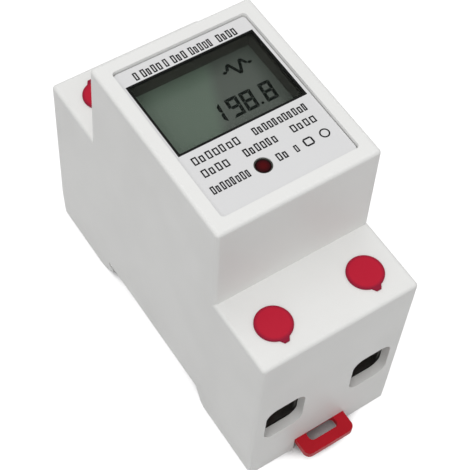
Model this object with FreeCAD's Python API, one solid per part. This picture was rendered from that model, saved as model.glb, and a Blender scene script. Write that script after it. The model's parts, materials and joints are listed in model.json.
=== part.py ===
import FreeCAD, Part
import math
import os

# Two-module energy meter for a 35 mm rail, in millimetres.
# The origin is the middle of the rail seat, the plane where the rail's front face meets the case.
# +X runs across the width, +Y towards the upper end of the display and +Z out of the front.

# Case outside
module_width = 18.0
module_count = 2
case_width = module_width * module_count
case_length = 78.4
shoulder_height = 41.15
head_height = 63.85
head_length = 45.3
head_top_inset = 0.68
pad_depth = 5.75
corner_round = 0.9
head_corner_round = 0.9
rim_round = 0.8
back_taper = 0.7
back_taper_height = 12.0

# Case walls
side_wall = 1.8
end_wall = 2.0
shoulder_wall = 2.0
front_wall = 1.6
partition_wall = 1.2
base_wall = 2.0
base_gap = 0.15

# Rail cut-out
rail_width = 35.0
rail_offset = 0.6
rail_flange = 1.0
rail_flange_gap = 0.25
rail_hook_gap = 0.3
hook_reach = 1.4
hook_thickness = 1.2
hook_slope_run = 4.9
tilt_room = 1.15
seat_relief = 0.3
seat_relief_gap = 0.15
low_slope_run = 1.6
low_slope_drop = 4.3
low_lip_run = 1.2

# Display recess, plate and label
recess_side_rim = 3.0
recess_end_rim = 3.0
recess_round = 0.8
label_drop = 0.8
label_thickness = 0.25
plate_thickness = 1.0
plate_gap = 0.2

# Display window and cell
window_side_margin = 1.3
window_length = 17.6
window_top_margin = 4.37
window_round = 0.35
bezel_wall = 0.65
bezel_end_lap = 0.6
lcd_drop = 5.1
lcd_thickness = 2.8
lcd_lap = 0.5
lcd_gap = 0.1
lcd_pin_count = 12
lcd_pin_width = 0.5
lcd_pin_thickness = 0.25
lcd_pin_inset = 2.4
pad_thickness = 1.5
pad_inset = 1.2

# Lamp
lamp_radius = 1.5
lamp_x = -2.1
lamp_from_recess_end = 6.1
lamp_below_label = 0.1
lamp_edge_round = 0.4
lamp_body_height = 5.3
lamp_lead_spacing = 2.54
lamp_lead_radius = 0.3
lamp_lead_sunk = 0.5
sleeve_gap = 0.05
sleeve_wall = 0.2
sleeve_foot_radius = 2.4
sleeve_below_label = 0.15
lamp_hole_gap = 0.05

# Boards
display_board_thickness = 1.2
main_board_thickness = 1.6
board_edge_gap = 0.35
board_side_gap = 0.6
board_rise = 5.4
board_round = 0.8
display_boss_radius = 1.4
display_boss_from_side = 2.8
display_boss_wall_gap = 0.5
display_boss_floor = 1.2
display_screw_radius = 0.8
display_screw_length = 4.5
display_screw_head_radius = 1.3
display_screw_head = 1.0
board_boss_radius = 2.4
board_boss_lap = 0.5
board_screw_radius = 1.1
board_screw_length = 7.0
board_screw_head_radius = 2.1
board_screw_head = 1.4
screw_hole_gap = 0.1
pan_bevel_share = 0.4
pan_slot_width_share = 0.28
pan_slot_depth_share = 0.45

# Terminals
terminal_round_gap = 0.05
clamp_mouth_height = 9.5
cage_opening = 8.4
cage_wall = 1.2
cage_floor = 1.5
cage_top_wall = 3.0
cage_length = 10.6
cage_headroom = 1.0
cage_side_gap = 0.2
cage_end_gap = 0.3
cage_partition_gap = 1.5
cage_round = 0.8
bar_thickness = 2.0
bar_width = 7.6
bar_gap = 0.2
bar_end_gap = 0.8
cable_hole_width = 9.4
cable_hole_height = 11.6
cable_hole_bottom = 8.75
cable_hole_round = 2.6
terminal_screw_radius = 2.5
terminal_head_radius = 3.1
terminal_head_height = 2.7
terminal_head_gap = 0.35
drive_slot_width = 0.9
drive_slot_depth = 1.6
drive_slot_half = 2.5
drive_cross_half = 1.85
terminal_tip_bevel = 0.5
terminal_head_bevel = 0.4
well_radius = 3.45
well_wall = 1.15

# Screw plugs
plug_radius = 3.8
plug_disc = 0.45
plug_edge_round = 0.2
plug_stem = 2.5
plug_head_room = 4.35
plug_stem_gap = 0.07
plug_stem_wall = 0.9
plug_tab_reach = 0.75
plug_tab_half_width = 1.5
plug_tab_tip_half_width = 0.5

# Rail clip
clip_width = 12.4
clip_thickness = 1.6
clip_reach = 4.6
clip_end_round = 1.5
clip_slot_width = 7.2
clip_slot_length = 2.6
clip_slot_from_end = 2.4
clip_slot_round = 1.0
clip_nose_overlap = 1.2
clip_nose_edge = 0.6
clip_nose_run = 2.4
clip_travel = 4.5
clip_shoulder_width = 16.0
clip_shoulder_from_rail = 5.6
clip_gap = 0.1
clip_side_gap = 0.15
clip_box_wall = 1.6
clip_window_width = 10.0
clip_lug_width = 3.0
clip_lug_length = 1.4
clip_lug_height = 3.35
clip_lug_from_shoulder = 1.5
clip_lug_sunk = 0.5

# Clip spring
spring_radius = 1.45
spring_wire_radius = 0.25
spring_turns = 7
spring_seat_wall = 1.6
spring_groove_gap = 0.45

# Base
saddle_wall = 1.8
saddle_gap = 0.7
cage_rib = 1.6
cage_rib_gap = 0.05
snap_y = 10.0
snap_width = 5.0
snap_thickness = 1.1
snap_height = 12.0
snap_hook = 0.6
snap_hook_height = 2.2
snap_recess_gap = 0.15

# Shunt and leads
shunt_length = 10.0
lead_radius = 0.4
lead_inset = 2.5
lead_above_board = 0.6

# Parts on the main board
header_pins = 8
header_pin_spacing = 2.54
header_pin_width = 0.64
header_strip = 2.5
header_from_board_end = 6.2
supply_capacitor_width = 8.5
supply_capacitor_height = 15.0
supply_capacitor_lead_gap = 1.2
supply_capacitor_can_gap = 0.6
supply_capacitor_from_head = 5.8
supply_capacitor_round = 0.8
smoothing_capacitor_radius = 4.0
smoothing_capacitor_height = 12.0
smoothing_capacitor_from_edge = 1.0
smoothing_capacitor_from_head = 5.6
smoothing_capacitor_bevel = 0.5
capacitor_groove_width = 0.8
capacitor_groove_depth = 0.3
capacitor_groove_height = 1.8
varistor_radius = 5.0
varistor_thickness = 3.6
varistor_lead = 1.6
varistor_lead_radius = 0.4
varistor_bevel = 0.8
varistor_from_edge = 2.0
varistor_y = 0.0
chip_size = (7.5, 10.3, 2.3)
chip_from_lead = 2.0
chip_from_capacitor = 0.8
chip_bevel = 0.6
crystal_size = (11.0, 4.6, 3.5)
crystal_from_edge = 2.0
crystal_from_header = 6.5
crystal_round_share = 0.45

# Sizes that follow from the ones above
case_half = case_width / 2
inner_half = case_half - side_wall
end_y = case_length / 2
inner_end_y = end_y - end_wall
roof = shoulder_height - shoulder_wall
base_half = inner_half - base_gap
base_end_y = inner_end_y - base_gap

rail_upper_edge = rail_width / 2 + rail_offset
rail_lower_edge = rail_upper_edge - rail_width
hook_end_y = rail_upper_edge + rail_hook_gap
hook_tip_y = hook_end_y - hook_reach
hook_slot = rail_flange + rail_flange_gap
channel_low_y = rail_lower_edge - tilt_room
seat_high_y = hook_tip_y - seat_relief_gap
seat_low_y = rail_lower_edge + clip_nose_overlap + seat_relief_gap

recess_floor = head_height - label_drop - label_thickness - plate_thickness
label_top = head_height - label_drop
front_inner = recess_floor - front_wall
lcd_top = head_height - lcd_drop
lcd_bottom = lcd_top - lcd_thickness
display_board_top = lcd_bottom - pad_thickness
display_board_bottom = display_board_top - display_board_thickness

cage_width = cage_opening + 2 * cage_wall
terminal_x = inner_half - cage_side_gap - cage_width / 2
terminal_y = inner_end_y - cage_end_gap - cage_length / 2
cage_bottom = cable_hole_bottom - cage_floor
bar_bottom = cable_hole_bottom + clamp_mouth_height
bar_top = bar_bottom + bar_thickness
cage_inner_top = bar_top + cage_headroom
cage_top = cage_inner_top + cage_top_wall
terminal_head_top = shoulder_height - plug_stem - plug_head_room
terminal_head_bottom = terminal_head_top - terminal_head_height
well_bottom = terminal_head_bottom + terminal_head_gap
bar_end_y = terminal_y + cage_length / 2 - bar_end_gap
partition_outer_y = terminal_y - cage_length / 2 - cage_partition_gap
partition_inner_y = partition_outer_y - partition_wall
saddle_y = partition_inner_y - saddle_gap - saddle_wall / 2
board_boss_y = saddle_y - saddle_wall / 2 - board_boss_radius + board_boss_lap
board_bottom = bar_top + board_rise
board_top = board_bottom + main_board_thickness
board_half_length = partition_inner_y - saddle_gap
board_half_width = inner_half - board_side_gap

clip_top = -hook_slot + clip_gap
clip_bottom = clip_top - clip_thickness
clip_end_y = -end_y - clip_reach
clip_nose_y = rail_lower_edge + clip_nose_overlap
clip_shoulder_inner = clip_shoulder_from_rail - rail_lower_edge
clip_shoulder_outer = inner_end_y - clip_travel - clip_gap
clip_box_half = clip_shoulder_width / 2 + clip_side_gap + clip_box_wall
spring_centre_z = clip_top + spring_radius + spring_wire_radius + clip_gap
spring_groove_top = spring_centre_z + spring_radius + spring_wire_radius + clip_gap
clip_box_top = spring_groove_top + spring_seat_wall
lug_end_y = -clip_shoulder_inner - clip_lug_from_shoulder
spring_seat_y = -base_end_y + spring_seat_wall

# How far a cutter runs past a surface, and past the whole case
past = 1.0
reach = 200.0

along_x = FreeCAD.Vector(1, 0, 0)
along_y = FreeCAD.Vector(0, 1, 0)
along_z = FreeCAD.Vector(0, 0, 1)


def head_half_length(z):
    """Half the head's length at a height, between its leaning end walls."""
    share = (z - shoulder_height) / (head_height - shoulder_height)
    return head_length / 2 - head_top_inset * share


head_top_half = head_half_length(head_height)
recess_half_width = case_half - recess_side_rim
recess_half_length = head_top_half - recess_end_rim
window_y = recess_half_length - window_top_margin - window_length / 2
lamp_y = -recess_half_length + lamp_from_recess_end
window_half_width = recess_half_width - window_side_margin
bezel_opening_half_length = window_length / 2 + bezel_end_lap
neck_half_width = window_half_width + bezel_wall
neck_half_length = bezel_opening_half_length + bezel_wall
lcd_half_width = neck_half_width - lcd_gap
lcd_half_length = bezel_opening_half_length + lcd_lap
pin_y = lcd_half_length + lcd_gap / 2 + lcd_pin_thickness / 2
skirt_inner_length = pin_y + lcd_pin_thickness / 2 + lcd_gap
skirt_half_width = neck_half_width + bezel_wall
skirt_half_length = skirt_inner_length + bezel_wall
upper_boss_y = window_y + skirt_half_length + lcd_gap + display_boss_radius
lower_boss_y = end_wall + display_boss_wall_gap + display_boss_radius - head_half_length(display_board_top)
display_board_half_length = head_half_length(display_board_bottom) - end_wall - board_edge_gap
display_board_half_width = inner_half - board_edge_gap
display_boss_x = inner_half - display_boss_from_side
boss_points = [(side * display_boss_x, y) for side in (-1, 1) for y in (lower_boss_y, upper_boss_y)]
corners = [("upper_left", -1, 1), ("upper_right", 1, 1), ("lower_left", -1, -1), ("lower_right", 1, -1)]


def block(x, y, z):
    """A box between the low and high value of each axis."""
    return Part.makeBox(x[1] - x[0], y[1] - y[0], z[1] - z[0], FreeCAD.Vector(x[0], y[0], z[0]))


def centred_block(x, y, half_x, half_y, z):
    """An upright box around the point x, y."""
    return block((x - half_x, x + half_x), (y - half_y, y + half_y), z)


def same(a, b):
    """Whether two coordinates are the same."""
    return abs(a - b) < 1e-6


def edges_along(shape, axis):
    """The straight edges of a shape that run along an axis."""
    found = []
    for edge in shape.Edges:
        ends = [vertex.Point for vertex in edge.Vertexes]
        if len(ends) == 2 and (ends[1] - ends[0]).cross(axis).Length < 1e-6:
            found.append(edge)
    return found


def rounded_block(x, y, half_x, half_y, z, radius):
    """An upright box whose four corners are rounded."""
    solid = centred_block(x, y, half_x, half_y, z)
    return solid.makeFillet(radius, edges_along(solid, along_z))


def cylinder(x, y, radius, z):
    """An upright cylinder between two heights."""
    return Part.makeCylinder(radius, z[1] - z[0], FreeCAD.Vector(x, y, z[0]))


def prism(points, depth, place):
    """A closed outline of (u, v) points, put in place as a face and swept along depth."""
    wire = Part.makePolygon([place(u, v) for u, v in points + points[:1]])
    return Part.Face(wire).extrude(depth)


def side_prism(points, x):
    """An outline of (y, z) points, swept across the width between two x values."""
    return prism(points, FreeCAD.Vector(x[1] - x[0], 0, 0), lambda y, z: FreeCAD.Vector(x[0], y, z))


def end_prism(points, y):
    """An outline of (x, z) points, swept along the length between two y values."""
    return prism(points, FreeCAD.Vector(0, y[1] - y[0], 0), lambda x, z: FreeCAD.Vector(x, y[0], z))


def flat_prism(points, z):
    """An outline of (x, y) points, swept upwards between two heights."""
    return prism(points, FreeCAD.Vector(0, 0, z[1] - z[0]), lambda x, y: FreeCAD.Vector(x, y, z[0]))


def joined(shapes):
    """One solid from overlapping or touching ones."""
    return shapes[0].multiFuse(shapes[1:]).removeSplitter()


def edges_at_height(shape, z):
    """The edges that lie in one level plane."""
    return [e for e in shape.Edges if all(same(v.Point.z, z) for v in e.Vertexes)]


def rail_channel(x):
    """The space for the rail, with the undercut of the fixed hook and the open way out of the back."""
    below = -pad_depth - past
    lip_y = channel_low_y - low_slope_run - low_lip_run
    outline = [
        (lip_y, below),
        (lip_y, -pad_depth),
        (channel_low_y - low_slope_run, -low_slope_drop),
        (channel_low_y, 0),
        (hook_end_y, 0),
        (hook_end_y, -hook_slot),
        (hook_tip_y, -hook_slot),
        (hook_tip_y, -hook_slot - hook_thickness),
        (hook_tip_y + hook_slope_run, -pad_depth),
        (hook_tip_y + hook_slope_run, below),
    ]
    return side_prism(outline, x)


def seat_reliefs(x):
    """Shallow steps beside the seat, under the hook and under the clip's nose."""
    steps = []
    for y in ((seat_high_y, hook_end_y), (channel_low_y, seat_low_y)):
        steps.append(block(x, y, (-past, seat_relief)))
    return steps


def head_prism(x, inset, z):
    """The head with its leaning end walls, between two x values and two heights."""
    low = head_half_length(z[0]) - inset
    high = head_half_length(z[1]) - inset
    return side_prism([(-low, z[0]), (-high, z[1]), (high, z[1]), (low, z[0])], x)


def case_outside():
    """The outer form: a long body with rounded corners, and the head that rises from its middle."""
    body = rounded_block(0, 0, case_half, end_y, (-pad_depth, shoulder_height), corner_round)
    body = body.makeFillet(rim_round, edges_at_height(body, shoulder_height))
    head = head_prism((-case_half, case_half), 0, (roof - head_corner_round, head_height))
    leaning = [e for e in head.Edges if not same(e.Vertexes[0].Point.z, e.Vertexes[1].Point.z)]
    head = head.makeFillet(head_corner_round, leaning)
    head = head.makeFillet(rim_round, edges_at_height(head, head_height))
    outside = joined([body, head])
    taper_top = back_taper_height - pad_depth
    for side in (-1, 1):
        wedge = [
            (side * case_half, taper_top),
            (side * (case_half - back_taper), -pad_depth),
            (side * (case_half + past), -pad_depth),
            (side * (case_half + past), taper_top),
        ]
        outside = outside.cut(end_prism(wedge, (-end_y - past, end_y + past)))
    return outside


def terminal_partitions():
    """Walls that part the four terminal chambers from each other and from the boards."""
    walls = []
    low = clip_box_top + base_gap
    for end in (-1, 1):
        across = sorted((end * partition_inner_y, end * partition_outer_y))
        wall = block((-inner_half, inner_half), across, (low, roof))
        for side in (-1, 1):
            half = bar_width / 2 + bar_gap
            span = (side * terminal_x - half, side * terminal_x + half)
            wall = wall.cut(block(span, across, (low, bar_top + bar_gap)))
        walls.append(wall)
        along = sorted((end * partition_outer_y, end * inner_end_y))
        walls.append(block((-partition_wall / 2, partition_wall / 2), along, (low, roof)))
        guide = terminal_x - cage_width / 2 - cage_side_gap
        rib = sorted((end * terminal_y - partition_wall / 2, end * terminal_y + partition_wall / 2))
        walls.append(block((-guide, guide), rib, (low, roof)))
    return walls


def front_housing():
    """The one-piece front moulding."""
    solid = case_outside()
    body_space = block((-inner_half, inner_half), (-inner_end_y, inner_end_y), (-reach, roof))
    solid = solid.cut(body_space)
    solid = solid.cut(head_prism((-inner_half, inner_half), end_wall, (roof - past, front_inner)))

    recess = rounded_block(0, 0, recess_half_width, recess_half_length,
                           (recess_floor, head_height + past), recess_round)
    aperture = centred_block(0, window_y, neck_half_width + lcd_gap, neck_half_length + lcd_gap,
                             (front_inner - past, recess_floor + past))
    lamp_hole = cylinder(lamp_x, lamp_y, sleeve_radius() + lamp_hole_gap,
                         (front_inner - past, recess_floor + past))
    solid = solid.cut(recess.fuse([aperture, lamp_hole]))

    additions = terminal_partitions()
    for x, y in boss_points:
        boss = cylinder(x, y, display_boss_radius, (display_board_top, front_inner))
        hole = cylinder(x, y, display_screw_radius + screw_hole_gap / 2,
                        (display_board_top, recess_floor - display_boss_floor))
        additions.append(boss.cut(hole))
    for name, side, end in corners:
        additions.append(cylinder(side * terminal_x, end * terminal_y, well_radius + well_wall,
                                  (well_bottom, roof)))
    solid = joined([solid] + additions)

    cuts = [rail_channel((-case_half - past, case_half + past))]
    for name, side, end in corners:
        x = side * terminal_x
        cuts.append(cylinder(x, end * terminal_y, well_radius,
                             (well_bottom - past, shoulder_height + past)))
        cuts.append(cable_hole(x, end))
    for side in (-1, 1):
        for end in (-1, 1):
            cuts.append(snap_recess(side, end))
    notch = clip_width / 2 + clip_side_gap
    cuts.append(block((-notch, notch), (-end_y - past, -inner_end_y + past),
                      (-pad_depth - past, clip_top + clip_gap)))
    return solid.cut(cuts)


def cable_hole(x, end):
    """A rounded rectangular cutter through an end wall."""
    half = cable_hole_width / 2
    low = end_y - end_wall - past
    solid = block((x - half, x + half), sorted((end * low, end * (end_y + past))),
                  (cable_hole_bottom, cable_hole_bottom + cable_hole_height))
    return solid.makeFillet(cable_hole_round, edges_along(solid, along_y))


def snap_recess(side, end):
    """A blind pocket inside a side wall that a hook of the base clicks into."""
    inner = side * (inner_half - past)
    outer = side * (inner_half + snap_hook + snap_recess_gap - base_gap)
    half = snap_width / 2 + snap_recess_gap
    low = snap_height - snap_hook_height - snap_recess_gap
    return block(sorted((inner, outer)), (end * snap_y - half, end * snap_y + half),
                 (low, snap_height + snap_recess_gap))


def base_plate():
    """The folded plate that closes the back and carries the rail seat and the fixed hook."""
    plate_top = -pad_depth + base_wall
    low_foot = channel_low_y - low_slope_run - low_lip_run
    outline = [
        (-base_end_y, -pad_depth),
        (-base_end_y, plate_top),
        (low_foot - base_wall, plate_top),
        (channel_low_y - base_wall, base_wall),
        (hook_end_y + base_wall, base_wall),
        (hook_tip_y + hook_slope_run + base_wall, plate_top),
        (base_end_y, plate_top),
        (base_end_y, -pad_depth),
    ]
    return side_prism(outline, (-base_half, base_half))


def clip_space():
    """The space that the clip slides in, open at the case's end, to the rail and at the back."""
    neck = clip_width / 2 + clip_side_gap
    wide = clip_shoulder_width / 2 + clip_side_gap
    z = (clip_bottom - clip_gap, clip_top + clip_gap)
    shapes = [
        block((-neck, neck), (-reach, rail_lower_edge + clip_nose_overlap + clip_gap), z),
        block((-wide, wide), (-reach, -clip_shoulder_inner + clip_gap), z),
        block((-clip_window_width / 2, clip_window_width / 2),
              (-reach, -clip_shoulder_inner), (-pad_depth - past, z[1])),
        block((-spring_radius - spring_groove_gap, spring_radius + spring_groove_gap),
              (spring_seat_y, -clip_shoulder_inner + clip_gap), (clip_top, spring_groove_top)),
    ]
    return shapes


def saddle(end):
    """A cross wall that holds up the bars in two notches and the board on its top."""
    y = (end * saddle_y - saddle_wall / 2, end * saddle_y + saddle_wall / 2)
    foot = -pad_depth + base_wall / 2
    wall = block((-base_half, base_half), y, (foot, board_bottom))
    for side in (-1, 1):
        half = bar_width / 2 + bar_gap
        notch = (side * terminal_x - half, side * terminal_x + half)
        wall = wall.cut(block(notch, y, (bar_bottom, board_bottom)))
    boss = cylinder(0, end * board_boss_y, board_boss_radius, (base_wall / 2, board_bottom))
    return wall.fuse(boss)


def snap_arm(side, end):
    """A springy arm with an outward hook that holds the front moulding."""
    edge = side * base_half
    inner = side * (base_half - snap_thickness)
    tip = side * (base_half + snap_hook)
    low = snap_height - snap_hook_height
    outline = [
        (inner, base_wall / 2),
        (edge, base_wall / 2),
        (edge, low),
        (tip, low),
        (tip, low + snap_hook / 2),
        (edge - side * snap_hook / 2, snap_height),
        (inner, snap_height),
    ]
    return end_prism(outline, (end * snap_y - snap_width / 2, end * snap_y + snap_width / 2))


def rear_base():
    """The base: plate, clip box, saddles, board posts, cage stops and snap arms."""
    parts = [base_plate()]
    parts.append(block((-clip_box_half, clip_box_half), (-base_end_y, channel_low_y - low_slope_run),
                       (-pad_depth, clip_box_top)))
    for end in (-1, 1):
        parts.append(saddle(end))
        for side in (-1, 1):
            parts.append(snap_arm(side, end))
            half = cage_rib / 2
            along = sorted((end * (terminal_y - cage_length / 2), end * base_end_y))
            parts.append(block((side * terminal_x - half, side * terminal_x + half), along,
                               (-pad_depth + base_wall / 2, cage_bottom - cage_rib_gap)))
    solid = joined(parts)
    across = (-base_half - past, base_half + past)
    cuts = [rail_channel(across)] + seat_reliefs(across) + clip_space()
    for end in (-1, 1):
        cuts.append(cylinder(0, end * board_boss_y, board_screw_radius + screw_hole_gap / 2,
                             (board_bottom - board_screw_length - past, board_bottom + past)))
    return solid.cut(cuts)


def window_panel():
    """The clear plate that lies on the floor of the display recess."""
    plate = rounded_block(0, 0, recess_half_width - plate_gap, recess_half_length - plate_gap,
                          (recess_floor, recess_floor + plate_thickness), recess_round)
    return plate.cut(lamp_opening())


def lamp_opening():
    """The cutter for the lamp's hole through the plate and the label."""
    return cylinder(lamp_x, lamp_y, sleeve_radius() + lamp_hole_gap, (recess_floor - past, head_height))


def face_label():
    """The printed film on the clear plate, open over the display and the lamp."""
    z = (recess_floor + plate_thickness, label_top)
    film = rounded_block(0, 0, recess_half_width - plate_gap, recess_half_length - plate_gap,
                         z, recess_round)
    window = rounded_block(0, window_y, window_half_width, window_length / 2,
                           (z[0] - past, z[1] + past), window_round)
    return film.cut([window, lamp_opening()])


def lcd_bezel():
    """The black frame: a neck that rises to the plate and a skirt that stands on the board."""
    skirt = rounded_block(0, window_y, skirt_half_width, skirt_half_length,
                          (display_board_top, front_inner - lcd_gap), bezel_wall)
    neck = centred_block(0, window_y, neck_half_width, neck_half_length,
                         (front_inner - past, recess_floor))
    opening = centred_block(0, window_y, window_half_width, bezel_opening_half_length,
                            (lcd_top - past, recess_floor + past))
    pocket = centred_block(0, window_y, lcd_half_width + lcd_gap, skirt_inner_length,
                           (display_board_top - past, lcd_top))
    return joined([skirt, neck]).cut([opening, pocket])


def lcd_glass():
    """The display cell: a lower glass and a slightly narrower upper glass, bonded as one piece."""
    step = lcd_thickness / 2
    lower = centred_block(0, window_y, lcd_half_width, lcd_half_length, (lcd_bottom, lcd_bottom + step))
    upper = centred_block(0, window_y, lcd_half_width, lcd_half_length - lcd_lap / 2,
                          (lcd_bottom + step, lcd_top))
    return joined([lower, upper])


def lcd_pins():
    """Two rows of contact pins along the long edges of the display cell."""
    pins = []
    span = 2 * (lcd_half_width - lcd_pin_inset)
    for row in (-1, 1):
        for number in range(lcd_pin_count):
            x = -span / 2 + span * number / (lcd_pin_count - 1)
            pins.append(centred_block(x, window_y + row * pin_y, lcd_pin_width / 2, lcd_pin_thickness / 2,
                                      (display_board_top, lcd_bottom + lcd_thickness / 2)))
    return Part.makeCompound(pins)


def lcd_pad():
    """The pad between the display cell and its board."""
    return centred_block(0, window_y, lcd_half_width - pad_inset, lcd_half_length - pad_inset,
                         (display_board_top, lcd_bottom))


def sleeve_radius():
    """The outer radius of the sleeve where it passes through the front."""
    return lamp_radius + sleeve_gap + sleeve_wall


def pulse_led():
    """The lamp: a round body with a flat end and a soft edge, on two leads."""
    top = label_top - lamp_below_label
    foot = top - lamp_body_height
    body = cylinder(lamp_x, lamp_y, lamp_radius, (foot, top))
    shapes = [body.makeFillet(lamp_edge_round, edges_at_height(body, top))]
    for side in (-1, 1):
        x = lamp_x + side * (lamp_lead_spacing / 2 - lamp_lead_radius / 2)
        shapes.append(cylinder(x, lamp_y, lamp_lead_radius, (display_board_top, foot + lamp_lead_sunk)))
    return joined(shapes)


def led_spacer():
    """The black sleeve around the lamp, with a wider foot on the board."""
    top = label_top - sleeve_below_label
    foot = cylinder(lamp_x, lamp_y, sleeve_foot_radius, (display_board_top, front_inner - lcd_gap))
    tube = cylinder(lamp_x, lamp_y, sleeve_radius(), (display_board_top, top))
    bore = cylinder(lamp_x, lamp_y, lamp_radius + sleeve_gap, (display_board_top - past, top + past))
    return joined([foot, tube]).cut(bore)


def display_board():
    """The small board behind the display."""
    board = rounded_block(0, 0, display_board_half_width, display_board_half_length,
                          (display_board_bottom, display_board_top), board_round)
    holes = []
    for x, y in boss_points:
        holes.append(cylinder(x, y, display_screw_radius + screw_hole_gap,
                              (display_board_bottom - past, display_board_top + past)))
    return board.cut(holes)


def pan_screw(x, y, seat, down, shank, length, head, head_height):
    """A pan-head screw whose head sits on a surface and whose shank points down, or up if down is -1."""
    shank_end = seat - down * length
    head_end = seat + down * head_height
    body = cylinder(x, y, shank, sorted((seat + down * head_height / 2, shank_end)))
    cap = cylinder(x, y, head, sorted((seat, head_end)))
    rim = edges_at_height(cap, head_end)
    cap = cap.makeChamfer(head_height * pan_bevel_share, rim)
    slot_floor = head_end - down * head_height * pan_slot_depth_share
    slot = centred_block(x, y, head, head * pan_slot_width_share / 2, sorted((slot_floor, head_end + down)))
    return joined([body, cap]).cut(slot)


def display_screws():
    """Four small screws that hold the display board to the head."""
    screws = []
    for x, y in boss_points:
        screws.append(pan_screw(x, y, display_board_bottom, -1, display_screw_radius,
                                display_screw_length, display_screw_head_radius, display_screw_head))
    return Part.makeCompound(screws)


def board_screws():
    """Two screws that hold the main board to the base."""
    screws = []
    for end in (-1, 1):
        screws.append(pan_screw(0, end * board_boss_y, board_top, 1, board_screw_radius,
                                board_screw_length, board_screw_head_radius, board_screw_head))
    return Part.makeCompound(screws)


def lead_points():
    """Where the wires rise from the bars to the board."""
    return [(-terminal_x, -shunt_length / 2 - lead_inset), (-terminal_x, shunt_length / 2 + lead_inset),
            (terminal_x, 0)]


def main_board():
    """The main board on the saddles of the base."""
    board = rounded_block(0, 0, board_half_width, board_half_length, (board_bottom, board_top), board_round)
    z = (board_bottom - past, board_top + past)
    holes = [cylinder(0, end * board_boss_y, board_screw_radius + 2 * screw_hole_gap, z) for end in (-1, 1)]
    holes += [cylinder(x, y, lead_radius + screw_hole_gap, z) for x, y in lead_points()]
    return board.cut(holes)


def sense_leads():
    """Stiff wires from the bars up through the board."""
    z = (bar_top, board_top + lead_above_board)
    wires = [cylinder(x, y, lead_radius, z) for x, y in lead_points()]
    return Part.makeCompound(wires)


def header_y():
    """The place of the row of pins between the boards."""
    return -display_board_half_length + header_from_board_end


def board_header():
    """The row of pins between the boards, with a plastic strip at each end."""
    half = header_pins * header_pin_spacing / 2
    y = header_y()
    shapes = [
        centred_block(0, y, half, header_strip / 2, (board_top, board_top + header_strip)),
        centred_block(0, y, half, header_strip / 2,
                      (display_board_bottom - header_strip, display_board_bottom)),
    ]
    for number in range(header_pins):
        x = (number - (header_pins - 1) / 2) * header_pin_spacing
        shapes.append(centred_block(x, y, header_pin_width / 2, header_pin_width / 2,
                                    (board_top, display_board_bottom)))
    return joined(shapes)


def head_inner_end(height):
    """The inner face of the head's upper end wall, at the top of a part that stands on the board."""
    return head_half_length(board_top + height) - end_wall


def supply_capacitor_y():
    """The middle of the film capacitor along the board, just inside the head."""
    high = head_inner_end(supply_capacitor_height) - supply_capacitor_from_head
    return high - supply_capacitor_width / 2


def supply_capacitor():
    """The box-shaped film capacitor."""
    low_x = -terminal_x + lead_radius + supply_capacitor_lead_gap
    high_x = smoothing_capacitor_x() - smoothing_capacitor_radius - supply_capacitor_can_gap
    return rounded_block((low_x + high_x) / 2, supply_capacitor_y(),
                         (high_x - low_x) / 2, supply_capacitor_width / 2,
                         (board_top, board_top + supply_capacitor_height), supply_capacitor_round)


def smoothing_capacitor_x():
    """The place of the round capacitor across the board."""
    return board_half_width - smoothing_capacitor_radius - smoothing_capacitor_from_edge


def smoothing_capacitor():
    """The round electrolytic capacitor, with the groove near its foot."""
    x = smoothing_capacitor_x()
    y = head_inner_end(smoothing_capacitor_height) - smoothing_capacitor_from_head
    y -= smoothing_capacitor_radius
    top = board_top + smoothing_capacitor_height
    can = cylinder(x, y, smoothing_capacitor_radius, (board_top, top))
    can = can.makeChamfer(smoothing_capacitor_bevel, edges_at_height(can, top))
    groove_low = board_top + capacitor_groove_height
    z = (groove_low, groove_low + capacitor_groove_width)
    groove = cylinder(x, y, smoothing_capacitor_radius + past, z)
    core = cylinder(x, y, smoothing_capacitor_radius - capacitor_groove_depth, z)
    return can.cut(groove.cut(core))


def surge_varistor():
    """The disc-shaped varistor, standing on two leads."""
    low_x = -board_half_width + varistor_from_edge
    centre = board_top + varistor_lead + varistor_radius
    disc = Part.makeCylinder(varistor_radius, varistor_thickness,
                             FreeCAD.Vector(low_x, varistor_y, centre), along_x)
    disc = disc.makeChamfer(varistor_bevel, [e for e in disc.Edges if len(e.Vertexes) == 1])
    shapes = [disc]
    for side in (-1, 1):
        shapes.append(cylinder(low_x + varistor_thickness / 2, varistor_y + side * varistor_radius / 2,
                               varistor_lead_radius, (board_top, centre - varistor_radius / 2)))
    return joined(shapes)


def metering_chip():
    """The metering chip with its bevelled pin-one edge."""
    width, length, height = chip_size
    x = terminal_x - width / 2 - chip_from_lead
    y = supply_capacitor_y() - supply_capacitor_width / 2 - chip_from_capacitor - length / 2
    top = board_top + height
    chip = centred_block(x, y, width / 2, length / 2, (board_top, top))
    rim = [e for e in edges_at_height(chip, top) if same(e.Vertexes[0].Point.x, e.Vertexes[1].Point.x)]
    return chip.makeChamfer(chip_bevel, rim[:1])


def crystal():
    """The oval metal can of the clock crystal, lying on the board."""
    length, width, height = crystal_size
    x = board_half_width - length / 2 - crystal_from_edge
    y = header_y() + crystal_from_header
    return rounded_block(x, y, length / 2, width / 2,
                         (board_top, board_top + height), width * crystal_round_share)


def straight_bar(x, y):
    """A flat copper bar along the case between two y values."""
    half = bar_width / 2
    return block((x - half, x + half), y, (bar_bottom, bar_top))


def terminal_cage(side, end):
    """A lifting clamp: a square ring of sheet metal with a thick threaded top."""
    x = side * terminal_x
    y = end * terminal_y
    outer = centred_block(x, y, cage_width / 2, cage_length / 2, (cage_bottom, cage_top))
    outer = outer.makeFillet(cage_round, edges_along(outer, along_y))
    opening = centred_block(x, y, cage_opening / 2, cage_length, (cable_hole_bottom, cage_inner_top))
    thread = cylinder(x, y, terminal_screw_radius + terminal_round_gap,
                      (cage_inner_top - past, cage_top + past))
    return outer.cut([opening, thread])


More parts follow.
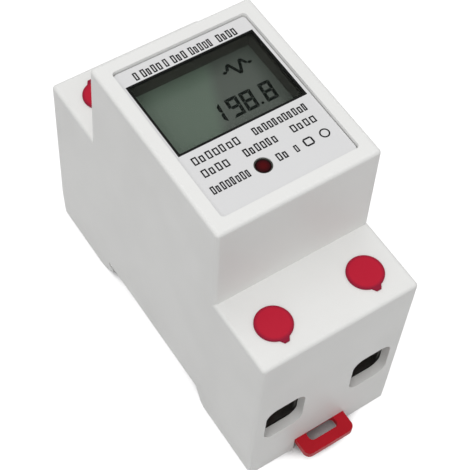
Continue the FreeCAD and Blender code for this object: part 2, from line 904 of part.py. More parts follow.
def terminal_screw(side, end):
    """The clamp's screw, with a slotted cross recess in its head and its tip on the bar."""
    x = side * terminal_x
    y = end * terminal_y
    tip = bar_top + terminal_round_gap
    shank = cylinder(x, y, terminal_screw_radius, (tip, terminal_head_bottom + terminal_head_bevel))
    shank = shank.makeChamfer(terminal_tip_bevel, edges_at_height(shank, tip))
    head = cylinder(x, y, terminal_head_radius, (terminal_head_bottom, terminal_head_top))
    head = head.makeChamfer(terminal_head_bevel, edges_at_height(head, terminal_head_top))
    z = (terminal_head_top - drive_slot_depth, terminal_head_top + past)
    long_slot = centred_block(x, y, drive_slot_half, drive_slot_width / 2, z)
    cross_slot = centred_block(x, y, drive_slot_width / 2, drive_cross_half, z)
    return joined([shank, head]).cut([long_slot, cross_slot])


def screw_plug(side, end):
    """A push-in plug: a low disc with a pry tab that points away from the head, and a hollow stem."""
    x = side * terminal_x
    y = end * terminal_y
    z = (shoulder_height, shoulder_height + plug_disc)
    inner = plug_radius - plug_tab_half_width / 2
    outer = plug_radius + plug_tab_reach
    tab = [
        (x - plug_tab_half_width, y + end * inner),
        (x - plug_tab_tip_half_width, y + end * outer),
        (x + plug_tab_tip_half_width, y + end * outer),
        (x + plug_tab_half_width, y + end * inner),
    ]
    disc = joined([cylinder(x, y, plug_radius, z), flat_prism(tab, z)])
    disc = disc.makeFillet(plug_edge_round, edges_at_height(disc, z[1]))
    stem_radius = well_radius - plug_stem_gap
    stem = cylinder(x, y, stem_radius, (shoulder_height - plug_stem, shoulder_height + plug_disc / 2))
    hollow = cylinder(x, y, stem_radius - plug_stem_wall,
                      (shoulder_height - plug_stem - past, shoulder_height))
    return joined([disc, stem]).cut(hollow)


def rail_clip():
    """The sliding clip: a flat plate with a bevelled nose, two stop shoulders, a slot and a spring lug."""
    half = clip_width / 2
    z = (clip_bottom, clip_top)
    outline = [
        (clip_end_y, clip_bottom),
        (clip_end_y, clip_top),
        (clip_nose_y, clip_top),
        (clip_nose_y, clip_top - clip_nose_edge),
        (clip_nose_y - clip_nose_run, clip_bottom),
    ]
    plate = side_prism(outline, (-half, half))
    corner = [e for e in edges_along(plate, along_z) if same(e.Vertexes[0].Point.y, clip_end_y)]
    plate = plate.makeFillet(clip_end_round, corner)
    shoulders = block((-clip_shoulder_width / 2, clip_shoulder_width / 2),
                      (-clip_shoulder_outer, -clip_shoulder_inner), z)
    lug = block((-clip_lug_width / 2, clip_lug_width / 2), (lug_end_y, lug_end_y + clip_lug_length),
                (clip_top - clip_lug_sunk, clip_top + clip_lug_height))
    solid = joined([plate, shoulders, lug])
    slot_low = clip_end_y + clip_slot_from_end
    slot = rounded_block(0, slot_low + clip_slot_length / 2, clip_slot_width / 2, clip_slot_length / 2,
                         (clip_bottom - past, clip_top + past), clip_slot_round)
    return solid.cut(slot)


def clip_spring():
    """The coil spring between the base's end wall and the clip's lug."""
    low = spring_seat_y + spring_wire_radius
    high = lug_end_y - spring_wire_radius
    pitch = (high - low) / spring_turns
    path = Part.makeHelix(pitch, high - low, spring_radius)
    start = FreeCAD.Vector(spring_radius, 0, 0)
    circle = Part.Wire(Part.makeCircle(spring_wire_radius, start, FreeCAD.Vector(0, 1, 0)))
    coil = Part.Wire(path.Edges).makePipeShell([circle], True, True)
    coil.rotate(FreeCAD.Vector(0, 0, 0), FreeCAD.Vector(1, 0, 0), -90)
    coil.translate(FreeCAD.Vector(0, low, spring_centre_z))
    return coil


def save(name, shape):
    """Writes one piece to its own file and prints what it holds."""
    solids = len(shape.Solids)
    print("%-22s solids %d volume %.1f valid %s" % (name, solids, shape.Volume, shape.isValid()))
    shape.exportStep("parts/" + name + ".step")


def main():
    """Builds and writes every piece."""
    os.makedirs("parts", exist_ok=True)
    save("front_housing", front_housing())
    save("rear_base", rear_base())
    save("window_panel", window_panel())
    save("face_label", face_label())
    save("lcd_bezel", lcd_bezel())
    save("lcd_glass", lcd_glass())
    save("lcd_pins", lcd_pins())
    save("lcd_pad", lcd_pad())
    save("pulse_led", pulse_led())
    save("led_spacer", led_spacer())
    save("display_board", display_board())
    save("display_screws", display_screws())
    save("board_header", board_header())
    save("main_board", main_board())
    save("board_screws", board_screws())
    save("sense_leads", sense_leads())
    save("supply_capacitor", supply_capacitor())
    save("smoothing_capacitor", smoothing_capacitor())
    save("surge_varistor", surge_varistor())
    save("metering_chip", metering_chip())
    save("crystal", crystal())
    half = shunt_length / 2
    save("neutral_bar", straight_bar(terminal_x, (-bar_end_y, bar_end_y)))
    save("live_bar_lower", straight_bar(-terminal_x, (-bar_end_y, -half)))
    save("live_bar_upper", straight_bar(-terminal_x, (half, bar_end_y)))
    save("shunt_strip", straight_bar(-terminal_x, (-half, half)))
    for name, side, end in corners:
        save("terminal_cage_" + name, terminal_cage(side, end))
        save("terminal_screw_" + name, terminal_screw(side, end))
        save("screw_plug_" + name, screw_plug(side, end))
    save("rail_clip", rail_clip())
    save("clip_spring", clip_spring())


main()
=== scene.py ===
import json
import math

import bmesh
import bpy
from mathutils import Matrix, Vector


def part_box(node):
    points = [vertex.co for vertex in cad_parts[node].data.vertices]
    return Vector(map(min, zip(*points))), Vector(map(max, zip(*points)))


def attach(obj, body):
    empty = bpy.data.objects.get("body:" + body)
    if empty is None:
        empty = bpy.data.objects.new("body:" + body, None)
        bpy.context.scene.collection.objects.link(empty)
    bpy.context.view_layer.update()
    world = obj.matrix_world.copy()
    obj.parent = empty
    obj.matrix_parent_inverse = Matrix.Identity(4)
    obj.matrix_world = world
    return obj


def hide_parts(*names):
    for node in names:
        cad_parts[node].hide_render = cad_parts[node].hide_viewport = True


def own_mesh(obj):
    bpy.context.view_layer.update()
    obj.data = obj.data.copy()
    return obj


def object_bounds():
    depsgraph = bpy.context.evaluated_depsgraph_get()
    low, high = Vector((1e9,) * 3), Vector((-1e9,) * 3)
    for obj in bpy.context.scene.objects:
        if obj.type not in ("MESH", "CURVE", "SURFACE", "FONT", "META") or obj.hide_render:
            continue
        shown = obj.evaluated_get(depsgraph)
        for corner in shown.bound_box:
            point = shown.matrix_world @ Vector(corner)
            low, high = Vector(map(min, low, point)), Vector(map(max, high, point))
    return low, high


# Looks of the two-module energy meter. Lengths are in metres, and in millimetres where a name ends in _mm.
# +X runs across the width, +Y towards the upper end of the display and +Z out of the front.
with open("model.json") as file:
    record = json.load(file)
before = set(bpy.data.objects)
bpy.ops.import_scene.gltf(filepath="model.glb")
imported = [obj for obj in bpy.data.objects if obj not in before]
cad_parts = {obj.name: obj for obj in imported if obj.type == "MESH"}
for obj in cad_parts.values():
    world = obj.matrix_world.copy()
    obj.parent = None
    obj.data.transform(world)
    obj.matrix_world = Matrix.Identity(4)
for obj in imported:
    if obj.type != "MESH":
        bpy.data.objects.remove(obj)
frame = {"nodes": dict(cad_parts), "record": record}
nodes = frame["nodes"]
cad_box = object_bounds()
mm = 0.001

# Camera
camera_place = Vector((-0.09263, -0.12181, 0.25617))
camera_azimuth = math.radians(-38.17)
camera_height_angle = math.radians(56.86)
camera_roll = math.radians(5.64)
camera_lens_mm = 101.85
camera_sensor_mm = 36.0

# Surround and lamps
sky_strength = 0.5
seen_sky_strength = 1.0
lamp_size = 0.5
top_lamp_power = 0.82
top_lamp_place = Vector((0.07, 0.08, 0.62))
front_lamp_power = 0.95
front_lamp_place = Vector((-0.27, -0.19, 0.52))

# Floor. Its glow fades where less than half of the near surround is open.
floor_size = 6
floor_shade = 0.45
floor_glow = 0.8
floor_drop = 0.03 * mm
shade_reach = 9 * mm
shade_full = 0.36
shade_none = 0.5

# Colours and textures that are tied to a place on the object
window_half_width = 13.7 * mm
window_half_length = 8.8 * mm
window_y = 5.8 * mm
border_width = 0.5 * mm
# Painted reflection on the display: a lighter, greener side beyond a soft slanting line.
reflection_line_slope = -0.41
reflection_line_start = -3.6 * mm
reflection_line_end = -0.3 * mm
plug_centre = Vector((10.6, 31.6, 0)) * mm
# Painted shade at the rim of each plug disc.
plug_shade_start = 2.9 * mm
plug_shade_end = 3.8 * mm
thread_lines = 196

# Print on the label: rows of boxes, with the left and right end, base line, height and count of each row
print_thickness = 0.015 * mm
print_rows_mm = [
    (-11.5, -10.4, 15.5, 1.95, 1), (-9.9, -5.3, 15.5, 1.95, 4), (-4.95, -3.9, 15.5, 1.95, 1),
    (-3.2, 0.2, 15.5, 1.95, 3), (0.75, 5.95, 15.5, 1.95, 5), (7.0, 11.5, 15.5, 1.95, 4),
    (-12.7, -2.4, -6.7, 1.8, 7), (0.45, 12.6, -6.6, 1.75, 11),
    (-12.6, -6.7, -9.85, 1.8, 4), (-3.65, 3.7, -9.85, 1.8, 6), (6.8, 12.5, -9.7, 1.7, 4),
    (-13.2, -4.8, -13.75, 1.8, 8), (0.95, 3.5, -13.7, 1.75, 2), (4.8, 5.8, -13.7, 1.6, 1),
]
glyph_fill = 0.76
glyph_widths = (1.0, 0.85, 0.95)
glyph_heights = (1.0, 0.84, 1.0, 0.92)
glyph_stroke_mm = 0.29
glyph_stroke_share = 0.34
square_low_mm = (7.15, -13.5)
square_high_mm = (8.85, -11.95)
square_stroke_mm = 0.36
ring_centre_mm = (11.65, -12.65)
ring_radius_mm = 0.9
ring_stroke_mm = 0.3
ring_steps = 32

# Readout: the left edge and the lit segments of each digit, the point and the wave line over them
segment_thickness = 0.02 * mm
segment_width_mm = 0.7
segment_gap_mm = 0.05
digit_width_mm = 2.65
digit_height_mm = 4.65
digit_slant = 0.1
digit_base_mm = 1.35
readout_digits = ((-2.5, "bc"), (1.45, "abcdfg"), (4.6, "abcdefg"), (9.0, "abcdefg"))
point_mm = (8.05, 1.75)
point_half_mm = 0.27
wave_stroke_mm = 0.62
wave_corners_mm = [
    (5.3, 11.5), (6.4, 11.5), (7.3, 13.2), (8.7, 9.8), (10.1, 13.2), (11.0, 11.5), (12.1, 11.5),
]

# Spring
coil_turns = 7
coil_radius = 1.45 * mm
wire_radius = 0.25 * mm
coil_steps = 28
wire_steps = 10
closed_turns = 0.8


def display_colour(red, green, blue):
    """A colour given as display values from 0 to 255, as linear red, green, blue and alpha."""
    linear = []
    for value in (red, green, blue):
        share = value / 255
        linear.append(share / 12.92 if share < 0.04045 else ((share + 0.055) / 1.055) ** 2.4)
    return (*linear, 1.0)


def scaled(colour, factor):
    """A colour made lighter or darker."""
    return tuple(min(1.0, value * factor) for value in colour[:3]) + (1.0,)


class Surface:
    """A material with one principled shader, and short ways to wire textures into it."""

    def __init__(self, name, colour, roughness, specular=0.5, metallic=0.0):
        self.material = bpy.data.materials.new(name)
        self.material.use_nodes = True
        self.tree = self.material.node_tree
        self.shader = self.tree.nodes["Principled BSDF"]
        self.shader.inputs["Base Color"].default_value = colour
        self.shader.inputs["Roughness"].default_value = roughness
        self.shader.inputs["Specular IOR Level"].default_value = specular
        self.shader.inputs["Metallic"].default_value = metallic
        self.colour = colour
        self.roughness = roughness
        self.bump_end = None

    def node(self, kind, **values):
        """A new node with some of its inputs set."""
        made = self.tree.nodes.new(kind)
        for name, value in values.items():
            made.inputs[name.replace("_", " ")].default_value = value
        return made

    def link(self, start, end):
        """Joins an output to an input."""
        self.tree.links.new(start, end)

    def vector(self, operation, first, second=(0, 0, 0)):
        """The node that works on a linked point and a fixed second one."""
        made = self.node("ShaderNodeVectorMath")
        made.operation = operation
        made.inputs[1].default_value = second
        self.link(first, made.inputs[0])
        return made

    def place(self, stretch=(1, 1, 1)):
        """The point on the object, in metres, stretched along the axes."""
        spot = self.node("ShaderNodeTexCoord")
        mapping = self.node("ShaderNodeMapping", Scale=stretch)
        self.link(spot.outputs["Object"], mapping.inputs["Vector"])
        return mapping.outputs["Vector"]

    def sizes(self, centre=(0, 0, 0)):
        """How far the point is from a centre along x, y and z, without signs."""
        offset = self.vector("SUBTRACT", self.place(), centre)
        return self.vector("ABSOLUTE", offset.outputs["Vector"]).outputs["Vector"]

    def away(self, point, centre):
        """The distance of a point from a line through a centre along z, in metres."""
        flat = self.vector("MULTIPLY", point, (1, 1, 0))
        return self.vector("DISTANCE", flat.outputs["Vector"], (centre[0], centre[1], 0)).outputs["Value"]

    def noise(self, scale, detail=2.0, stretch=(1, 1, 1)):
        """A soft cloudy value; scale is the number of clouds in a metre."""
        texture = self.node("ShaderNodeTexNoise", Scale=scale, Detail=detail)
        self.link(self.place(stretch), texture.inputs["Vector"])
        return texture.outputs["Fac"]

    def below(self, value, limit):
        """One where a value is below a limit, and zero elsewhere."""
        test = self.node("ShaderNodeMath")
        test.operation = "LESS_THAN"
        test.inputs[1].default_value = limit
        self.link(value, test.inputs[0])
        return test.outputs["Value"]

    def times(self, first, second):
        """The product of two values."""
        product = self.node("ShaderNodeMath")
        product.operation = "MULTIPLY"
        self.link(first, product.inputs[0])
        self.link(second, product.inputs[1])
        return product.outputs["Value"]

    def spread(self, value, low, high):
        """A value drawn out so that it runs from 0 at low to 1 at high."""
        made = self.node("ShaderNodeMapRange", From_Min=low, From_Max=high)
        self.link(value, made.inputs["Value"])
        return made.outputs["Result"]

    def paint(self, value, low, high, start=0.3, end=0.7):
        """Colours the surface from low to high as a value goes from start to end."""
        ramp = self.node("ShaderNodeValToRGB")
        ramp.color_ramp.elements[0].position = start
        ramp.color_ramp.elements[0].color = low
        ramp.color_ramp.elements[1].position = end
        ramp.color_ramp.elements[1].color = high
        self.link(value, ramp.inputs["Fac"])
        self.link(ramp.outputs["Color"], self.shader.inputs["Base Color"])
        return self

    def clouds(self, scale, change):
        """Slow changes of shade over the surface."""
        low, high = scaled(self.colour, 1 - change), scaled(self.colour, 1 + change)
        return self.paint(self.noise(scale, 3.0), low, high)

    def gloss_clouds(self, scale, change):
        """Slow changes of gloss over the surface."""
        gloss = self.node("ShaderNodeMapRange", From_Min=0.3, From_Max=0.7,
                          To_Min=self.roughness - change, To_Max=self.roughness + change)
        self.link(self.noise(scale, 3.0), gloss.inputs["Value"])
        self.link(gloss.outputs["Result"], self.shader.inputs["Roughness"])
        return self

    def bump(self, height, depth, strength=1.0):
        """Raises the surface by a height value from 0 to 1; several bumps add up."""
        bump = self.node("ShaderNodeBump", Strength=strength, Distance=depth)
        self.link(height, bump.inputs["Height"])
        if self.bump_end:
            self.link(self.bump_end, bump.inputs["Normal"])
        self.bump_end = bump.outputs["Normal"]
        self.link(self.bump_end, self.shader.inputs["Normal"])
        return self

    def grain(self, scale, depth, stretch=(1, 1, 1)):
        """A fine moulded or rolled grain."""
        return self.bump(self.noise(scale, 2.0, stretch), depth)

    def coat(self, weight, roughness):
        """A clear gloss on top."""
        self.shader.inputs["Coat Weight"].default_value = weight
        self.shader.inputs["Coat Roughness"].default_value = roughness
        return self


def moulded(name, colour, roughness, specular=0.5, shade=0.02, grain_depth=0.012 * mm):
    """Moulded plastic with faint flow clouds, unless shade is 0, and a fine eroded grain."""
    surface = Surface(name, colour, roughness, specular)
    if shade:
        surface.clouds(55, shade)
    return surface.gloss_clouds(140, 0.05).grain(2600, grain_depth)


def plated(name, colour, roughness, stretch=(1, 1, 0.08), stain_scale=300, stain=0.08):
    """Plated, tinned or rolled metal with fine drawn lines and slight stains."""
    surface = Surface(name, colour, roughness, metallic=1.0)
    return surface.clouds(stain_scale, stain).gloss_clouds(900, 0.08).grain(5200, 0.01 * mm, stretch)


def housing_surface():
    """White satin plastic of the case."""
    return moulded("housing plastic", (0.86, 0.86, 0.845, 1), 0.46, shade=0.012)


def plate_surface():
    """Clear plate in front of the display."""
    surface = Surface("clear plate", display_colour(70, 78, 74), 0.06, specular=0.15)
    surface.shader.inputs["Alpha"].default_value = 0.06
    return surface.grain(180, 0.004 * mm)


def label_surface():
    """Light grey printed film with a narrow black border round the window."""
    film = (0.77, 0.77, 0.775, 1)
    surface = Surface("label film", film, 0.42, specular=0.1)
    axes = surface.node("ShaderNodeSeparateXYZ")
    surface.link(surface.sizes((0, window_y, 0)), axes.inputs["Vector"])
    inside = surface.times(surface.below(axes.outputs["X"], window_half_width + border_width),
                           surface.below(axes.outputs["Y"], window_half_length + border_width))
    surface.paint(inside, film, display_colour(5, 6, 5), 0.0, 1.0)
    return surface.gloss_clouds(160, 0.04).grain(4200, 0.004 * mm)


def black_surface():
    """Black moulded plastic."""
    return moulded("black plastic", display_colour(64, 64, 58), 0.5, specular=0.25, shade=0.15)


def display_surface():
    """Grey-green display cell, with a painted reflection that makes it lighter and greener on one side of
    a soft slanting line.
    """
    green, grey = display_colour(102, 118, 104), display_colour(90, 97, 90)
    surface = Surface("display cell", display_colour(92, 103, 92), 0.22, specular=0.2)
    across = surface.vector("DOT_PRODUCT", surface.place(), (1, reflection_line_slope, 0))
    side = surface.spread(across.outputs["Value"], reflection_line_start, reflection_line_end)
    return surface.paint(side, green, grey, 0.1, 0.9).grain(1500, 0.002 * mm)


def lamp_surface():
    """Dark red lamp body, with painted shade that darkens it towards its edge."""
    red, shaded_edge_red = display_colour(78, 6, 10), display_colour(24, 2, 8)
    surface = Surface("lamp red", red, 0.45, specular=0.05)
    low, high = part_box("pulse_led")
    from_centre = surface.away(surface.place(), (low + high) / 2)
    share = surface.spread(from_centre, 0, (high.x - low.x) / 2)
    return surface.paint(share, red, shaded_edge_red, 0.3, 1.0).grain(700, 0.01 * mm)


def board_surface():
    """Green solder mask with the faint relief of copper tracks."""
    surface = Surface("board green", (0.03, 0.2, 0.09, 1), 0.3)
    tracks = surface.node("ShaderNodeTexBrick", Scale=260, Mortar_Size=0.16, Brick_Width=1.7,
                          Row_Height=0.5)
    surface.link(surface.place(), tracks.inputs["Vector"])
    tracks.inputs["Color1"].default_value = (0.025, 0.17, 0.075, 1)
    tracks.inputs["Color2"].default_value = (0.03, 0.2, 0.09, 1)
    tracks.inputs["Mortar"].default_value = (0.05, 0.29, 0.13, 1)
    surface.link(tracks.outputs["Color"], surface.shader.inputs["Base Color"])
    return surface.bump(tracks.outputs["Fac"], 0.02 * mm).grain(2600, 0.004 * mm)


def screw_surface():
    """Zinc-plated steel with the relief of a thread round the shank."""
    surface = plated("screw steel", (0.62, 0.62, 0.6, 1), 0.34, (1, 1, 1))
    waves = surface.node("ShaderNodeTexWave", Scale=thread_lines)
    waves.bands_direction = "Z"
    surface.link(surface.place(), waves.inputs["Vector"])
    return surface.bump(waves.outputs["Fac"], 0.16 * mm, 0.6)


def shaded_cage_surface():
    """Zinc-plated sheet steel, its colour darkened as painted shade inside the case."""
    return plated("cage steel", (0.2, 0.2, 0.19, 1), 0.36, (1, 0.06, 1))


def copper_surface():
    """Rolled copper with a slight tarnish."""
    return plated("copper bar", (0.72, 0.36, 0.22, 1), 0.32, (1, 0.05, 1), 220, 0.18)


def shunt_surface():
    """Rolled shunt alloy."""
    return plated("shunt alloy", (0.52, 0.4, 0.33, 1), 0.4, (1, 0.05, 1), 220, 0.12)


def film_capacitor_surface():
    """Yellow moulded box."""
    return moulded("film capacitor", (0.72, 0.5, 0.05, 1), 0.3, shade=0.05).coat(0.3, 0.2)


def sleeve_surface():
    """Dark shrink sleeve."""
    return moulded("dark sleeve", (0.035, 0.045, 0.08, 1), 0.28, shade=0.1).coat(0.4, 0.15)


def varistor_surface():
    """Dipped blue lacquer with a soft ripple."""
    surface = Surface("varistor blue", (0.04, 0.13, 0.42, 1), 0.3)
    return surface.clouds(500, 0.12).bump(surface.noise(700, 1.0), 0.05 * mm).coat(0.4, 0.15)


def plug_surface():
    """Satin crimson plastic of the screw plugs, with painted shade that darkens the rim of the disc."""
    red, shaded_rim_red = display_colour(192, 26, 53), display_colour(145, 22, 52)
    surface = moulded("plug red", red, 0.5, specular=0.12, shade=0)
    rim = surface.spread(surface.away(surface.sizes(), plug_centre), plug_shade_start, plug_shade_end)
    return surface.paint(rim, red, shaded_rim_red, 0.2, 1.0)


def clip_surface():
    """Red plastic of the rail clip."""
    return moulded("clip red", display_colour(188, 22, 38), 0.4, specular=0.15, shade=0.06)


def ink_surface():
    """Dark grey ink of the label's print."""
    return Surface("label ink", display_colour(20, 20, 22), 0.5, specular=0.1).clouds(1500, 0.2)


def segment_surface():
    """Dark segments of the readout."""
    return Surface("segment ink", display_colour(5, 10, 6), 0.4, specular=0.02).clouds(900, 0.3)


def pad_surface():
    """Pale foam."""
    return moulded("pale foam", (0.8, 0.8, 0.76, 1), 0.8, specular=0.1, grain_depth=0.08 * mm)


def dress_frame(spring_surface):
    """Gives every solid the finish of its material slot."""
    finishes = {
        "housing_white": housing_surface(),
        "clear_plate": plate_surface(),
        "label_film": label_surface(),
        "black_plastic": black_surface(),
        "display_cell": display_surface(),
        "tinned_metal": plated("tinned metal", (0.78, 0.78, 0.76, 1), 0.24),
        "pale_pad": pad_surface(),
        "lamp_red": lamp_surface(),
        "board_green": board_surface(),
        "screw_steel": screw_surface(),
        "zinc_steel": shaded_cage_surface(),
        "film_capacitor": film_capacitor_surface(),
        "dark_sleeve": sleeve_surface(),
        "varistor_blue": varistor_surface(),
        "copper": copper_surface(),
        "shunt_alloy": shunt_surface(),
        "plug_red": plug_surface(),
        "clip_red": clip_surface(),
        "spring_steel": spring_surface,
    }
    for subpart in frame["record"]["subparts"]:
        piece = nodes[subpart["node"]]
        piece.data.materials.clear()
        piece.data.materials.append(finishes[subpart["material_slot"]].material)


def new_piece(name, mesh, surface, body):
    """Finishes a bmesh as a piece that rides on a body."""
    data = bpy.data.meshes.new(name)
    mesh.to_mesh(data)
    mesh.free()
    data.materials.append(surface.material)
    piece = bpy.data.objects.new(name, data)
    bpy.context.scene.collection.objects.link(piece)
    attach(piece, body)
    return piece


def add_tile(mesh, outline_mm, low, thickness):
    """A thin tile with an outline of points in millimetres."""
    faces = []
    for height in (low, low + thickness):
        faces.append([mesh.verts.new((x * mm, y * mm, height)) for x, y in outline_mm])
    mesh.faces.new(reversed(faces[0]))
    mesh.faces.new(faces[1])
    count = len(outline_mm)
    for number in range(count):
        after = (number + 1) % count
        mesh.faces.new((faces[0][number], faces[0][after], faces[1][after], faces[1][number]))


def add_bar(mesh, left_mm, right_mm, bottom_mm, top_mm, low, thickness):
    """An upright rectangle."""
    corners = [(left_mm, bottom_mm), (right_mm, bottom_mm), (right_mm, top_mm), (left_mm, top_mm)]
    add_tile(mesh, corners, low, thickness)


def add_stroke(mesh, start_mm, end_mm, width_mm, low, thickness):
    """A thin bar with pointed ends between two points."""
    start, end = Vector(start_mm), Vector(end_mm)
    along = (end - start).normalized()
    across = Vector((-along.y, along.x)) * width_mm / 2
    tip = along * width_mm / 2
    near_side = [start, start + tip - across, end - tip - across]
    far_side = [end, end - tip + across, start + tip + across]
    add_tile(mesh, near_side + far_side, low, thickness)


def add_segments(mesh, left_mm, lit, low):
    """One seven-segment digit, with segments lettered from the top, clockwise, and g in the middle."""
    wide, tall, stroke, gap = digit_width_mm, digit_height_mm, segment_width_mm, segment_gap_mm
    half, middle = stroke / 2, tall / 2
    inner_left, inner_right, inner_top = gap + stroke, wide - stroke, tall - stroke

    def over(points):
        return [(x, tall - y) for x, y in reversed(points)]

    def across(points):
        return [(wide - x, y) for x, y in reversed(points)]

    top = [(gap, tall), (inner_left, inner_top), (inner_right - gap, inner_top), (wide - gap, tall)]
    right = [(wide, tall - gap), (inner_right, inner_top - gap), (inner_right, middle + half + gap),
             (wide - half, middle + gap), (wide, middle + gap)]
    left_tip = [(inner_left, middle + half), (gap + half, middle), (inner_left, middle - half)]
    outlines = {
        "a": top,
        "b": right,
        "c": over(right),
        "d": over(top),
        "e": across(over(right)),
        "f": across(right),
        "g": left_tip + across(left_tip),
    }
    for letter in lit:
        outline = [(left_mm + x + digit_slant * y, digit_base_mm + y) for x, y in outlines[letter]]
        add_tile(mesh, outline, low, segment_thickness)


def add_readout(surface):
    """The number on the display cell, with a plain wave line in the place of its unit."""
    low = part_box("lcd_glass")[1].z
    mesh = bmesh.new()
    for left_mm, lit in readout_digits:
        add_segments(mesh, left_mm, lit, low)
    x, y = point_mm
    add_bar(mesh, x - point_half_mm, x + point_half_mm, y - point_half_mm, y + point_half_mm,
            low, segment_thickness)
    new_piece("display_digits", mesh, surface, "case")

    mesh = bmesh.new()
    for start, end in zip(wave_corners_mm, wave_corners_mm[1:]):
        add_stroke(mesh, start, end, wave_stroke_mm, low, segment_thickness)
    new_piece("display_unit", mesh, surface, "case")


def add_boxes(mesh, left_mm, right_mm, base_mm, height_mm, count, low):
    """A row of plain hollow boxes in the place of a printed word."""
    pitch = (right_mm - left_mm) / count
    stroke = min(glyph_stroke_mm, pitch * glyph_fill * glyph_stroke_share)
    for number in range(count):
        left = left_mm + number * pitch
        right = left + pitch * glyph_fill * glyph_widths[number % len(glyph_widths)]
        top = base_mm + height_mm * glyph_heights[number % len(glyph_heights)]
        inner_left, inner_right = left + stroke, right - stroke
        add_bar(mesh, left, inner_left, base_mm, top, low, print_thickness)
        add_bar(mesh, inner_right, right, base_mm, top, low, print_thickness)
        add_bar(mesh, inner_left, inner_right, base_mm, base_mm + stroke, low, print_thickness)
        add_bar(mesh, inner_left, inner_right, top - stroke, top, low, print_thickness)


def add_square(mesh, low):
    """A plain square drawn with four strokes."""
    left, bottom = square_low_mm
    right, top = square_high_mm
    corners = [(left, bottom), (right, bottom), (right, top), (left, top)]
    for number, corner in enumerate(corners):
        add_stroke(mesh, corners[number - 1], corner, square_stroke_mm, low, print_thickness)


def add_ring(mesh, low):
    """A plain flat ring."""
    rings = []
    for height in (low, low + print_thickness):
        for radius in (ring_radius_mm - ring_stroke_mm / 2, ring_radius_mm + ring_stroke_mm / 2):
            ring = []
            for step in range(ring_steps):
                turn = math.tau * step / ring_steps
                x = ring_centre_mm[0] + radius * math.cos(turn)
                y = ring_centre_mm[1] + radius * math.sin(turn)
                ring.append(mesh.verts.new((x * mm, y * mm, height)))
            rings.append(ring)
    low_in, low_out, high_in, high_out = rings
    for step in range(ring_steps):
        after = (step + 1) % ring_steps
        mesh.faces.new((high_in[step], high_out[step], high_out[after], high_in[after]))
        mesh.faces.new((low_in[after], low_out[after], low_out[step], low_in[step]))
        mesh.faces.new((low_out[step], low_out[after], high_out[after], high_out[step]))
        mesh.faces.new((low_in[after], low_in[step], high_in[step], high_in[after]))


def add_label_print(surface):
    """Rows of hollow boxes, a square and a ring in the place of the label's words and marks."""
    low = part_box("face_label")[1].z
    mesh = bmesh.new()
    for left, right, base, height, count in print_rows_mm:
        add_boxes(mesh, left, right, base, height, count, low)
    add_square(mesh, low)
    add_ring(mesh, low)
    new_piece("label_print", mesh, surface, "case")


def coil_place(turns, start, end):
    """Where the wire is along the spring after a number of turns, with closed coils at both ends."""
    total = coil_turns + 2 * closed_turns
    closed_rise = 2 * wire_radius * closed_turns
    if turns < closed_turns:
        return start + 2 * wire_radius * turns
    if turns > total - closed_turns:
        return end - 2 * wire_radius * (total - turns)
    share = (turns - closed_turns) / coil_turns
    return start + closed_rise + (end - start - 2 * closed_rise) * share


def wire_ring(mesh, turns, y, centre_z):
    """The points round the wire after a number of turns."""
    angle = math.tau * turns
    outward = Vector((math.cos(angle), 0, math.sin(angle)))
    centre = outward * coil_radius + Vector((0, y, centre_z))
    ring = []
    for side in range(wire_steps):
        turn = math.tau * side / wire_steps
        offset = outward * math.cos(turn) + Vector((0, 1, 0)) * math.sin(turn)
        ring.append(mesh.verts.new(centre + offset * wire_radius))
    return ring


def add_spring(surface):
    """The coil spring with closed ends."""
    low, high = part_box("clip_spring")
    start, end = low.y + wire_radius, high.y - wire_radius
    centre_z = (low.z + high.z) / 2
    mesh = bmesh.new()
    rings = []
    for step in range(int((coil_turns + 2 * closed_turns) * coil_steps) + 1):
        turns = step / coil_steps
        rings.append(wire_ring(mesh, turns, coil_place(turns, start, end), centre_z))
    for before, after in zip(rings, rings[1:]):
        for side in range(wire_steps):
            right = (side + 1) % wire_steps
            mesh.faces.new((before[side], before[right], after[right], after[side]))
    mesh.faces.new(rings[0])
    mesh.faces.new(reversed(rings[-1]))
    bmesh.ops.recalc_face_normals(mesh, faces=mesh.faces)
    for face in mesh.faces:
        face.smooth = True
    piece = new_piece("coil_spring", mesh, surface, "case")
    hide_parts("clip_spring")
    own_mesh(piece)


def seen_ray(tree):
    """One for rays from the camera, mirrors and glass, and zero for the light that falls on surfaces."""
    path = tree.nodes.new("ShaderNodeLightPath")
    total = path.outputs["Is Camera Ray"]
    for name in ("Is Glossy Ray", "Is Transmission Ray"):
        add = tree.nodes.new("ShaderNodeMath")
        add.operation = "MAXIMUM"
        tree.links.new(total, add.inputs[0])
        tree.links.new(path.outputs[name], add.inputs[1])
        total = add.outputs[0]
    return total


def add_sky():
    """A plain white surround that lights the object softly."""
    world = bpy.data.worlds.new("studio")
    bpy.context.scene.world = world
    world.use_nodes = True
    tree = world.node_tree
    background = tree.nodes["Background"]
    background.inputs["Color"].default_value = (1, 1, 1, 1)
    strength = tree.nodes.new("ShaderNodeMapRange")
    strength.inputs["To Min"].default_value = sky_strength
    strength.inputs["To Max"].default_value = seen_sky_strength
    tree.links.new(seen_ray(tree), strength.inputs["Value"])
    tree.links.new(strength.outputs["Result"], background.inputs["Strength"])


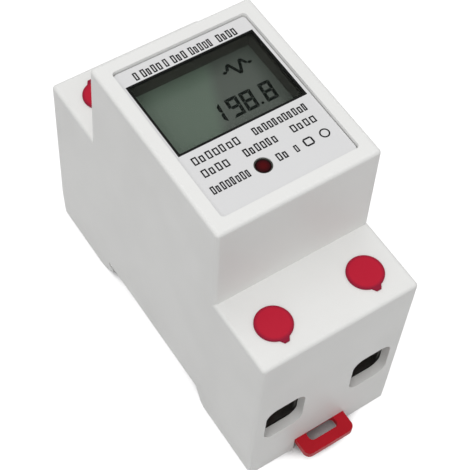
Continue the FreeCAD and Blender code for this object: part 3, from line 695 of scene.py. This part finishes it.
def add_floor():
    """A pale floor, which is seen white but keeps its shade close to the object."""
    bpy.ops.mesh.primitive_plane_add(size=floor_size, location=(0, 0, cad_box[0].z - floor_drop))
    floor = bpy.context.object
    floor.name = "floor"
    surface = Surface("floor", (floor_shade, floor_shade, floor_shade, 1), 0.9, specular=0.0)
    open_share = surface.node("ShaderNodeAmbientOcclusion", Distance=shade_reach)
    strength = surface.node("ShaderNodeMapRange", From_Min=shade_full, From_Max=shade_none,
                            To_Max=floor_glow)
    surface.link(open_share.outputs["AO"], strength.inputs["Value"])
    seen_strength = surface.times(strength.outputs["Result"], seen_ray(surface.tree))
    glow = surface.node("ShaderNodeEmission")
    surface.link(seen_strength, glow.inputs["Strength"])
    total = surface.node("ShaderNodeAddShader")
    surface.link(surface.shader.outputs["BSDF"], total.inputs[0])
    surface.link(glow.outputs["Emission"], total.inputs[1])
    surface.link(total.outputs["Shader"], surface.tree.nodes["Material Output"].inputs["Surface"])
    floor.data.materials.append(surface.material)


def add_lamp(name, place, power):
    """A large soft lamp that points at the object."""
    data = bpy.data.lights.new(name, "AREA")
    data.shape = "DISK"
    data.size = lamp_size
    data.energy = power
    lamp = bpy.data.objects.new(name, data)
    bpy.context.scene.collection.objects.link(lamp)
    lamp.location = place
    lamp.rotation_mode = "QUATERNION"
    lamp.rotation_quaternion = (-place).to_track_quat("-Z", "Y")


def add_camera():
    """The camera at the photograph's angle, turned a little about its own axis."""
    flat = math.cos(camera_height_angle)
    back = Vector((math.sin(camera_azimuth) * flat, -math.cos(camera_azimuth) * flat,
                   math.sin(camera_height_angle)))
    level = Vector((0, 0, 1)).cross(back).normalized()
    upright = back.cross(level)
    right = level * math.cos(camera_roll) + upright * math.sin(camera_roll)
    up = back.cross(right)
    data = bpy.data.cameras.new("camera")
    data.lens = camera_lens_mm
    data.sensor_width = camera_sensor_mm
    camera = bpy.data.objects.new("camera", data)
    bpy.context.scene.collection.objects.link(camera)
    turn = Matrix((right, up, back)).transposed().to_4x4()
    camera.matrix_world = Matrix.Translation(camera_place) @ turn
    bpy.context.scene.camera = camera


bpy.context.scene.view_settings.view_transform = "Standard"
spring_steel = plated("spring steel", (0.55, 0.55, 0.55, 1), 0.26, (1, 1, 1))
dress_frame(spring_steel)
add_readout(segment_surface())
add_label_print(ink_surface())
add_spring(spring_steel)
add_sky()
add_floor()
add_lamp("top lamp", top_lamp_place, top_lamp_power)
add_lamp("front lamp", front_lamp_place, front_lamp_power)
add_camera()
